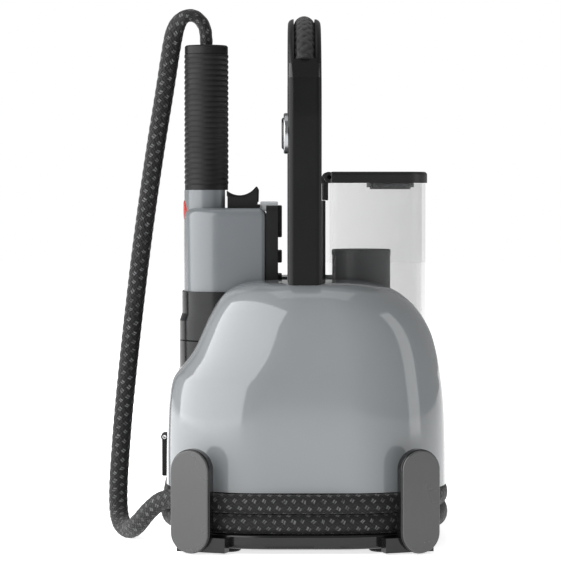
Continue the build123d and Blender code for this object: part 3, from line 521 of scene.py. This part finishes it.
@dataclass
class DomedShell:
    """The gloss body: a soft box that narrows to a dome, with a sloped left shoulder.

    A station is height, left edge, right edge, half depth and corner radius, in
    millimetres.
    """

    wall: float = 2.5
    tank_gap: float = 2.5
    dock_gap: float = 0.4
    dock_side_gap: float = 0.5
    dome_from: float = 90.0
    stations: tuple[tuple[float, ...], ...] = (
        (34.8, -82.0, 84.0, 106.0, 57.0), (66.0, -81.6, 83.6, 105.8, 57.0),
        (82.0, -80.8, 82.8, 105.5, 57.0), (91.0, -79.6, 82.0, 105.2, 57.0),
        (98.0, -77.4, 81.0, 104.9, 56.5), (104.0, -72.8, 80.2, 104.5, 56.0),
        (114.0, -65.6, 78.2, 103.7, 55.0), (124.0, -60.8, 75.2, 102.6, 53.5),
        (133.0, -56.8, 70.6, 101.0, 51.0), (140.0, -53.0, 65.4, 98.8, 48.5),
        (145.0, -49.6, 60.2, 96.2, 46.0), (149.0, -45.4, 54.0, 92.8, 42.0),
        (152.0, -39.6, 46.4, 88.2, 36.5), (154.0, -31.6, 36.8, 82.0, 28.0),
        (155.0, -18.0, 20.0, 70.0, 16.0),
    )
    steps_per_station: int = 6
    steps_per_corner: int = 20
    steps_per_side: int = 10

    def profile(self, inset: float) -> np.ndarray:
        """Gives closely spaced stations on a smooth curve through the given ones."""
        rows = np.array(self.stations)
        if inset:
            top = rows[:, 0] > self.dome_from
            rows[:, 0] -= np.where(top, inset, 0.0)
            rows[:, 1] += inset
            rows[:, 2:] -= inset
        line = distances(rows[:, :4])
        steps = (len(rows) - 1) * self.steps_per_station + 1
        wanted = np.interp(np.linspace(0, len(rows) - 1, steps), np.arange(len(rows)), line)
        slopes = np.gradient(rows, line, axis=0)
        spot = np.clip(np.searchsorted(line, wanted, side="right") - 1, 0, len(rows) - 2)
        width = (line[spot + 1] - line[spot])[:, None]
        t = (wanted - line[spot])[:, None] / width
        return ((1 + 2 * t) * (1 - t) ** 2 * rows[spot]
                + t * (1 - t) ** 2 * width * slopes[spot]
                + t * t * (3 - 2 * t) * rows[spot + 1]
                + t * t * (t - 1) * width * slopes[spot + 1])

    def outline(self, left: float, right: float, half_depth: float, corner: float) -> np.ndarray:
        """Gives the points round one rounded rectangle, evenly spaced on each stretch."""
        centre_x, half_width = (left + right) / 2, (right - left) / 2
        flat_x, flat_y = half_width - corner, half_depth - corner
        points = []
        for turn, (side_x, side_y) in enumerate(((1, 1), (-1, 1), (-1, -1), (1, -1))):
            for step in range(self.steps_per_corner):
                angle = math.radians(90 * (turn + step / self.steps_per_corner))
                points.append((side_x * flat_x + corner * math.cos(angle),
                               side_y * flat_y + corner * math.sin(angle)))
            angle = math.radians(90 * (turn + 1))
            start = np.array((side_x * flat_x, side_y * flat_y))
            start = start + corner * np.array((math.cos(angle), math.sin(angle)))
            next_x, next_y = ((-1, 1), (-1, -1), (1, -1), (1, 1))[turn]
            end = np.array((next_x * flat_x, next_y * flat_y))
            end = end + corner * np.array((math.cos(angle), math.sin(angle)))
            for step in range(self.steps_per_side):
                points.append(tuple(start + (end - start) * step / self.steps_per_side))
        return np.array(points) + (centre_x, 0.0)

    def solid(self, name: str, inset: float) -> bpy.types.Object:
        """Makes the closed form of the shell, set in by a wall where asked."""
        rings = []
        rows = self.profile(inset)
        for height, left, right, half_depth, corner in rows:
            flat = self.outline(left, right, half_depth, corner)
            rings.append(np.column_stack([flat, np.full(len(flat), height)]))
        middle = rings[-1].mean(axis=0)
        for share in (0.75, 0.5, 0.25):
            rings.append(middle + (rings[len(rows) - 1] - middle) * share)
        around = len(rings[0])
        return mesh_piece(name, np.concatenate(rings) * MM, ring_faces(len(rings), around), 30.0)

    def build(self) -> bpy.types.Object:
        """Makes the shell, with its tank bay, dock bay and handle slots."""
        dock_low, dock_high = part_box("dock_pedestal")
        tank_low, tank_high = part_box("tank_body")
        guide_low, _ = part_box("tank_guide")
        gap, wall, slit = self.tank_gap * MM, self.wall * MM, self.dock_gap * MM
        beside, above = 0.2, 0.3
        tank_bay = ((guide_low.x, tank_low.y - gap, guide_low.z),
                    (beside, tank_high.y + gap, above))
        dock_bay = ((-beside, dock_low.y - slit, dock_low.z),
                    (dock_high.x + self.dock_side_gap * MM, dock_high.y + slit, above))
        cavity = self.solid("cavity", self.wall)
        grown = [box_piece("grown", np.array(low) - wall, np.array(high) + wall)
                 for low, high in (tank_bay, dock_bay)]
        cut(cavity, *grown)
        shell = self.solid("body_shell_skin", 0.0)
        cut(shell, box_piece("tank_bay", *tank_bay), box_piece("dock_bay", *dock_bay),
            cavity, NODES["handle_frame"])
        soften(shell.data, 32.0)
        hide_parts("body_shell")
        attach(shell, Body.ROOT.value)
        return shell


@dataclass
class RibbedGrip:
    """The rubber sleeve on the handpiece, with rounded ribs."""

    pitch: float = 3.2
    depth: float = 0.85
    thickness: float = 2.0
    plain_end: float = 0.3
    crown_power: float = 0.45
    around: int = 96
    points_per_rib: int = 8

    def build(self) -> bpy.types.Object:
        """Makes the sleeve as one closed turned form."""
        low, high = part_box("grip_sleeve")
        centre = (low + high) / 2
        radius = (high.x - low.x) / 2
        bore, plain = radius - self.thickness * MM, radius - self.plain_end * MM
        pitch, depth = self.pitch * MM, self.depth * MM
        ribs = int((high.z - low.z) / pitch)
        start = high.z - ribs * pitch
        profile = [(bore, low.z), (plain, low.z), (plain, start)]
        for rib in range(ribs):
            for step in range(self.points_per_rib):
                share = (step + 0.5) / self.points_per_rib
                crown = math.sin(math.pi * share) ** self.crown_power
                profile.append((radius - depth * (1 - crown), start + (rib + share) * pitch))
        profile.append((bore, high.z))
        angles = np.linspace(0, 2 * math.pi, self.around, endpoint=False)
        rings = [np.column_stack([centre.x + r * np.cos(angles), centre.y + r * np.sin(angles),
                                  np.full(self.around, z)]) for r, z in profile]
        faces = ring_faces(len(rings), self.around, capped=False)
        last = (len(rings) - 1) * self.around
        faces += [(last + k, last + (k + 1) % self.around, (k + 1) % self.around, k)
                  for k in range(self.around)]
        sleeve = mesh_piece("grip_ribs", np.concatenate(rings), faces, 50.0)
        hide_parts("grip_sleeve")
        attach(sleeve, Body.HANDPIECE.value)
        return sleeve


@dataclass
class RopeGrip:
    """The braided cord let into the top of the hoop handle."""

    hoop_corner: float = 60.0
    sink: float = 4.5
    end_angle: float = 34.5
    around: int = 60
    step: float = 0.7
    stitch: float = 0.0062
    stitches_round: int = 6
    relief_height: float = 0.0007
    arc_points: int = 60
    top_points: int = 30

    def centre_line(self) -> np.ndarray:
        """Gives the line of the cord: an arc, a straight top and an arc."""
        _, hoop_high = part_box("handle_frame")
        corner = self.hoop_corner * MM
        bend = corner - self.sink * MM
        flat, low = hoop_high.y - corner, hoop_high.z - corner
        arc = [(0.0, -flat - bend * math.cos(angle), low + bend * math.sin(angle))
               for angle in np.radians(np.linspace(self.end_angle, 90, self.arc_points))]
        top = [(0.0, y, low + bend) for y in np.linspace(-flat, flat, self.top_points)[1:-1]]
        return np.array(arc + top + [(0.0, -y, z) for _, y, z in reversed(arc)])

    def relief(self, along: np.ndarray, around: np.ndarray) -> np.ndarray:
        """Raises a plump stitch at each crossing and sinks the gaps between them."""
        left = np.abs(np.sin(math.pi * (along + around)))
        right = np.abs(np.sin(math.pi * (along - around)))
        return self.relief_height * (np.maximum(left, right) ** 0.6 - 1.0)

    def build(self) -> bpy.types.Object:
        """Makes the cord as one closed tube."""
        low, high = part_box("handle_rope")
        radius = (high.x - low.x) / 2
        line = self.centre_line()
        length = distances(line)[-1]
        centre = resample(line, np.linspace(0, length, int(length / (self.step * MM))))
        rope = tube_piece("rope_cord", centre, np.full((len(centre), 2), radius),
                          np.tile([1.0, 0.0, 0.0], (len(centre), 1)), self.around,
                          self.relief, self.stitch, self.stitches_round)
        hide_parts("handle_rope")
        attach(rope, Body.ROOT.value)
        return rope


def tube_piece(name: str, path: np.ndarray, radii: np.ndarray, wide: np.ndarray, around: int,
               relief: Callable[[np.ndarray, np.ndarray], np.ndarray], pitch: float,
               turns: int) -> bpy.types.Object:
    """Makes a closed tube along a line.

    Args:
        name: the piece's name.
        path: the line's points, in metres.
        radii: half the width and half the thickness at each point.
        wide: the direction of the wide axis at each point, before it's squared up.
        around: points round each ring.
        relief: gives a raised amount from stitches along and stitches round.
        pitch: the length of one stitch.
        turns: stitches round the tube.

    Returns:
        The tube, holding its stitches along and round.
    """
    heading = unit(np.gradient(path, axis=0))
    across = unit(wide - heading * (wide * heading).sum(axis=1, keepdims=True))
    other = np.cross(heading, across)
    angle = np.linspace(0, 2 * math.pi, around, endpoint=False)
    along = np.repeat(distances(path)[:, None] / pitch, around, axis=1)
    round_ = np.repeat(angle[None, :] / (2 * math.pi) * turns, len(path), axis=0)
    raised = relief(along, round_)
    points = (path[:, None, :]
              + across[:, None, :] * ((radii[:, 0:1] + raised) * np.cos(angle))[:, :, None]
              + other[:, None, :] * ((radii[:, 1:2] + raised) * np.sin(angle))[:, :, None])
    piece = mesh_piece(name, points.reshape(-1, 3), ring_faces(len(path), around), 60.0)
    ring_numbers(piece, along, round_)
    return piece


@dataclass
class SteamHose:
    """The braided steam hose, one flat-oval tube from the grip to the base.

    The free route's points are in metres; the two turns round the base come from
    the lane's size.
    """

    width: float = 0.0113
    thickness: float = 0.0076
    free_route: tuple[tuple[float, float, float], ...] = (
        (-0.0595, 0.0, 0.2972), (-0.0595, 0.0, 0.3034), (-0.0610, 0.0001, 0.3104),
        (-0.0664, 0.0003, 0.3158), (-0.0732, 0.0006, 0.3154), (-0.0784, 0.0008, 0.3088),
        (-0.0810, 0.0010, 0.2960), (-0.0846, 0.0015, 0.2720), (-0.0908, 0.0020, 0.2350),
        (-0.0986, 0.0015, 0.1810), (-0.1049, 0.0005, 0.1280), (-0.1099, -0.0020, 0.0800),
        (-0.1123, -0.0060, 0.0480), (-0.1134, -0.0120, 0.0250), (-0.1120, -0.0235, 0.0090),
        (-0.1060, -0.0380, 0.0047), (-0.0998, -0.0510, 0.0090), (-0.0922, -0.0620, 0.0196),
        (-0.0833, -0.0712, 0.0276), (-0.0716, -0.0826, 0.0290),
    )
    lane_half_x: float = 0.0824
    lane_half_y: float = 0.1084
    lane_radius: float = 0.0604
    corner_bulge: float = 0.0021
    upper_z: float = 0.0287
    lower_z: float = 0.0171
    end_x: float = 0.0100
    ring_step: float = 0.00125
    around: int = 44
    stitch: float = 0.0056
    stitches_round: int = 8
    relief_height: float = 0.00022
    twist_between: tuple[float, float] = (0.012, 0.050)
    upright_between: tuple[float, float] = (0.35, 0.40)
    spline_order: int = 3
    spline_steps: int = 24

    def lane_point(self, angle: float, height: float) -> tuple[float, float, float]:
        """Gives a control point on a corner of the lane.

        Args:
            angle: its direction from the corner's centre, in degrees.
            height: its height, in metres.

        Returns:
            The point, a little outside the corner's arc between the arc's ends.
        """
        radius = self.lane_radius + self.corner_bulge * math.sin(math.radians(2 * (angle % 90)))
        side_x, side_y = self.corner_signs(angle)
        return (side_x * (self.lane_half_x - self.lane_radius) + radius * math.cos(math.radians(angle)),
                side_y * (self.lane_half_y - self.lane_radius) + radius * math.sin(math.radians(angle)),
                height)

    @staticmethod
    def corner_signs(angle: float) -> tuple[int, int]:
        """Gives the side of X and Y that a direction lies on."""
        return (1 if math.cos(math.radians(angle)) > 0 else -1,
                1 if math.sin(math.radians(angle)) > 0 else -1)

    def winding(self) -> list[tuple[float, float, float]]:
        """Gives the control points of the two turns, from the left front corner to the rear inlet."""
        points = []
        edge = 0.01
        quarters = ((240, 270, self.upper_z), (270, 360, self.upper_z), (360, 450, self.upper_z),
                    (450, 540, self.upper_z), (540, 630, self.lower_z), (630, 720, self.lower_z),
                    (720, 810, self.lower_z))
        for first, last, height in quarters:
            if first == 540:
                points.append((-self.lane_half_x, 0.0, (self.upper_z + self.lower_z) / 2))
            if first in (360, 720):
                points.append((self.lane_half_x, 0.0, height))
            for angle in range(first, last + 1, 30):
                inside = min(max(angle, first + edge), last - edge)
                points.append(self.lane_point(inside, height))
        points.append((self.end_x, self.lane_half_y, self.lower_z))
        return points

    def smooth_line(self) -> np.ndarray:
        """Gives close points read from the hose's smooth spline."""
        route = list(self.free_route) + self.winding()
        curve = bpy.data.curves.new("hose_line", "CURVE")
        curve.dimensions = "3D"
        spline = curve.splines.new("NURBS")
        spline.points.add(len(route) - 1)
        for point, place in zip(spline.points, route):
            point.co = (*place, 1.0)
        spline.order_u = self.spline_order
        spline.use_endpoint_u = True
        spline.resolution_u = self.spline_steps
        guide = bpy.data.objects.new("hose_line", curve)
        bpy.context.scene.collection.objects.link(guide)
        bpy.context.view_layer.update()
        graph = bpy.context.evaluated_depsgraph_get()
        mesh = bpy.data.meshes.new_from_object(guide.evaluated_get(graph))
        line = np.array([vertex.co[:] for vertex in mesh.vertices])
        bpy.data.objects.remove(guide)
        bpy.data.meshes.remove(mesh)
        length = distances(line)[-1]
        return resample(line, np.linspace(0, length, int(length / self.ring_step)))

    def wide_axis(self, line: np.ndarray) -> np.ndarray:
        """Gives the flat section's wide direction: from front to back at the grip, then twisted
        to face the front, and upright on the base."""
        reach = distances(line)
        heading = unit(np.gradient(line, axis=0))
        facing = np.cross(np.array([0.0, 1.0, 0.0]), heading)
        lengths = np.linalg.norm(facing, axis=1, keepdims=True)
        facing = np.where(lengths > 0.05, facing / np.maximum(lengths, 0.05), (0.0, 0.0, -1.0))
        wound = smooth_step(reach, *self.upright_between)[:, None]
        facing = facing * (1 - wound) + np.array([0.0, 0.0, -1.0]) * wound
        twisted = smooth_step(reach, *self.twist_between)[:, None]
        return np.array([0.0, 1.0, 0.0]) * (1 - twisted) + facing * twisted

    def relief(self, along: np.ndarray, around: np.ndarray) -> np.ndarray:
        """Raises the crossing yarns a little."""
        left = np.abs(np.sin(math.pi * (along + around)))
        right = np.abs(np.sin(math.pi * (along - around)))
        return self.relief_height * (left * right - 0.4)

    def build(self) -> bpy.types.Object:
        line = self.smooth_line()
        radii = np.tile([self.width / 2, self.thickness / 2], (len(line), 1))
        hose = tube_piece("steam_hose", line, radii, self.wide_axis(line), self.around,
                          self.relief, self.stitch, self.stitches_round)
        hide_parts("hose_upper", "hose_lower", "hose_winding")
        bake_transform(hose)
        return hose


# ---------------------------------------------------------------- finishes

SHELL = MouldedPlastic("shell_gloss_grey", (0.19, 0.202, 0.21), roughness=0.09, grain=2600,
                       grain_depth=0.000002, peel_depth=0.000004, coat=0.2, mottle=0.02)
DOCK = MouldedPlastic("dock_gloss_dark", (0.007, 0.0074, 0.0082), roughness=0.2, grain=1600,
                      grain_depth=0.000004, mottle=0.03, specular=0.22)
HEAD = MouldedPlastic("head_satin_grey", (0.135, 0.147, 0.157), roughness=0.24, grain=1800,
                      grain_depth=0.000006, coat=0.1, mottle=0.03)
GLOSS_BLACK = MouldedPlastic("gloss_black", (0.005, 0.005, 0.0053), roughness=0.16, grain=2200,
                             grain_depth=0.000004, peel_depth=0.00001, mottle=0.1, specular=0.4)
CAP = MouldedPlastic("cap_satin", (0.045, 0.045, 0.0463), roughness=0.26, grain=1600,
                     grain_depth=0.000006, mottle=0.03, specular=0.7)
MATTE_BLACK = MouldedPlastic("matte_black", (0.006, 0.0061, 0.0064), roughness=0.42, grain=1500,
                             grain_depth=0.00003, mottle=0.1, specular=0.25)
HANDLE = MouldedPlastic("handle_black", (0.004, 0.0041, 0.0042), roughness=0.36, grain=2000,
                        mottle=0.08, specular=0.2)
LID = MouldedPlastic("lid_dark", (0.012, 0.0122, 0.0125), roughness=0.34, grain=1500, specular=0.25)
CARTRIDGE = MouldedPlastic("cartridge_black", (0.01, 0.0104, 0.011), roughness=0.45, grain=1500,
                           grain_depth=0.00003, mottle=0.1, specular=0.3)
CLIP = MouldedPlastic("clip_silver", (0.45, 0.47, 0.48), roughness=0.25, grain=1500,
                      grain_depth=0.000008, coat=0.3, mottle=0.03)
RED = MouldedPlastic("red_accent", (0.5, 0.045, 0.035), roughness=0.3, grain=1500,
                     grain_depth=0.000006, coat=0.3, mottle=0.06)
WHITE = MouldedPlastic("inner_white", (0.72, 0.72, 0.7), roughness=0.4, grain=1200,
                       grain_depth=0.00002, mottle=0.03)
RUBBER = SoftRubber("rubber_black", (0.005, 0.005, 0.0052), 0.5)
SILICONE = SoftRubber("silicone_tube", (0.6, 0.57, 0.5), 0.5)
# alpha 0.08 at the left to 0.175 at the right is painted shade towards the rounded right end
CLEAR = ClearPlastic("tank_clear", (0.24, 0.245, 0.25), 0.08, 0.175)
STEEL = BrushedMetal("steel_brushed", (0.62, 0.62, 0.63), 0.28)
CAST = BrushedMetal("boiler_cast", (0.7, 0.7, 0.7), 0.45, (500.0, 500.0, 500.0))
RING = BrushedMetal("bezel_metal", (0.4, 0.41, 0.42), 0.22, (900.0, 60.0, 60.0))
BRAID = BraidedSleeve("hose_braid", (0.0035, 0.0034, 0.0035), (0.13, 0.133, 0.137))
ROPE = BraidedSleeve("rope_yarn", (0.014, 0.014, 0.0145), (0.1, 0.1, 0.1), flecked=False,
                     fineness=1.0)
BOARD = PrintedBoard("board_green", (0.02, 0.12, 0.05))

NODE_FINISHES: dict[str, tuple[str, ...]] = {
    "dock_gloss_dark": ("dock_cup", "dock_pedestal"),
    "head_satin_grey": ("handpiece_shell_front", "handpiece_shell_rear"),
    "gloss_black": ("base_tray", "cord_post_front_left", "cord_post_front_right", "cord_post_rear_left",
                    "cord_post_rear_right", "handle_collars", "power_button"),
    "cap_satin": ("post_caps",),
    "matte_black": ("cord_keeper", "keeper_bracket", "tank_guide", "hinge_bracket", "trigger",
                    "trigger_bracket", "fabric_guard", "base_gland", "mains_gland", "hose_gland",
                    "grip_core", "grip_end_cap", "trigger_pin", "lid_hinge_pin"),
    "handle_black": ("handle_frame",),
    "lid_dark": ("tank_lid",),
    "cartridge_black": ("filter_cartridge",),
    "clip_silver": ("guard_clip",),
    "red_accent": ("mode_button",),
    "inner_white": ("pump", "solenoid_valve", "tank_valve", "water_inlet", "power_switch",
                    "trigger_switch"),
    "rubber_black": ("rubber_feet", "lid_seal"),
    "silicone_tube": ("internal_tubes",),
    "tank_clear": ("tank_body",),
    "steel_brushed": ("soleplate", "keeper_pin", "tray_screws", "trigger_spring", "heating_element"),
    "boiler_cast": ("boiler", "steam_chamber"),
    "bezel_metal": ("button_bezel",),
    "board_green": ("control_board",),
}


# ---------------------------------------------------------------- studio


@dataclass
class Studio:
    """The pale floor, the soft lights and the camera."""

    camera_place: tuple[float, float, float] = (-0.0142, -1.622, 0.209)
    tilt_degrees: float = 1.958
    lens: float = 169.9
    floor_half: float = 6.0
    floor_colour: Colour = (0.93, 0.93, 0.93)
    floor_glow: float = 0.74
    surround: float = 0.32

    def floor(self) -> None:
        """Makes the pale floor."""
        half = self.floor_half
        points = np.array([(-half, -half, 0), (half, -half, 0), (half, half, 0), (-half, half, 0)])
        plane = mesh_piece("studio_floor", points, [(0, 1, 2, 3)])
        paint(plane, PaleFloor("floor_white", self.floor_colour, self.floor_glow).build())

    def light(self, name: str, place: Sequence[float], aim: Sequence[float],
              size: tuple[float, float], power: float) -> None:
        """Adds a soft box.

        Args:
            name: the lamp's name.
            place: where it stands, in metres.
            aim: the point that it faces.
            size: its width and height, in metres.
            power: its power, in watts.
        """
        data = bpy.data.lights.new(name, "AREA")
        data.shape = "RECTANGLE"
        data.size, data.size_y = size
        data.energy = power
        lamp = bpy.data.objects.new(name, data)
        lamp.location = place
        lamp.rotation_euler = (Vector(aim) - Vector(place)).to_track_quat("-Z", "Y").to_euler()
        bpy.context.scene.collection.objects.link(lamp)

    def lights(self) -> None:
        """Sets a white backdrop, a dim even surround and soft boxes at the left, right and top."""
        world = bpy.data.worlds.new("studio")
        world.use_nodes = True
        background = world.node_tree.nodes["Background"]
        background.inputs["Color"].default_value = (1.0, 1.0, 1.0, 1.0)
        seen = world.node_tree.nodes.new("ShaderNodeLightPath").outputs["Is Camera Ray"]
        strength = world.node_tree.nodes.new("ShaderNodeMapRange")
        strength.inputs["To Min"].default_value = self.surround
        strength.inputs["To Max"].default_value = 1.0
        world.node_tree.links.new(seen, strength.inputs["Value"])
        world.node_tree.links.new(strength.outputs["Result"], background.inputs["Strength"])
        bpy.context.scene.world = world
        self.light("wall_left", (-1.47, -0.24, 0.7), (-0.17, 0.36, 0.15), (3.6, 1.8), 66)
        self.light("strip_right", (1.5, -0.2, 0.6), (0, 0, 0.15), (0.5, 1.4), 4)
        self.light("top", (0.0, 0.1, 1.8), (0, 0, 0.1), (1.2, 1.2), 4)

    def camera(self) -> None:
        """Adds the camera at the front, a little above the handle's middle."""
        data = bpy.data.cameras.new("view")
        data.lens = self.lens
        data.sensor_width = 36.0
        view = bpy.data.objects.new("view", data)
        view.location = self.camera_place
        view.rotation_euler = (math.radians(90 - self.tilt_degrees), 0, 0)
        bpy.context.scene.collection.objects.link(view)
        bpy.context.scene.camera = view

    def build(self) -> None:
        """Makes the whole studio."""
        self.camera()
        self.floor()
        self.lights()
        bpy.context.scene.view_settings.view_transform = "Standard"


def dress_nodes() -> None:
    """Gives each frame node listed in NODE_FINISHES its finish."""
    finishes = (DOCK, HEAD, GLOSS_BLACK, CAP, MATTE_BLACK, HANDLE, LID, CARTRIDGE, CLIP, RED, WHITE,
                RUBBER, SILICONE, CLEAR, STEEL, CAST, RING, BOARD)
    made = {finish.name: finish for finish in finishes}
    for name, nodes in NODE_FINISHES.items():
        material = made[name].build()
        for node in nodes:
            paint(NODES[node], material)
        log.info("finish %s on %d nodes", name, len(nodes))


def main() -> None:
    """Builds the studio and each sub-assembly in order, and reports each piece."""
    logging.basicConfig(level=logging.INFO, format="%(name)s: %(message)s")
    Studio().build()
    hose = SteamHose().build()
    paint(hose, BRAID.build())
    shell = DomedShell().build()
    paint(shell, SHELL.build())
    grip = RibbedGrip().build()
    paint(grip, RUBBER.build())
    rope = RopeGrip().build()
    paint(rope, ROPE.build())
    dress_nodes()
    for piece in (hose, shell, grip, rope):
        log.info("%s: %d faces", piece.name, len(piece.data.polygons))


if __name__ == "__main__":
    main()
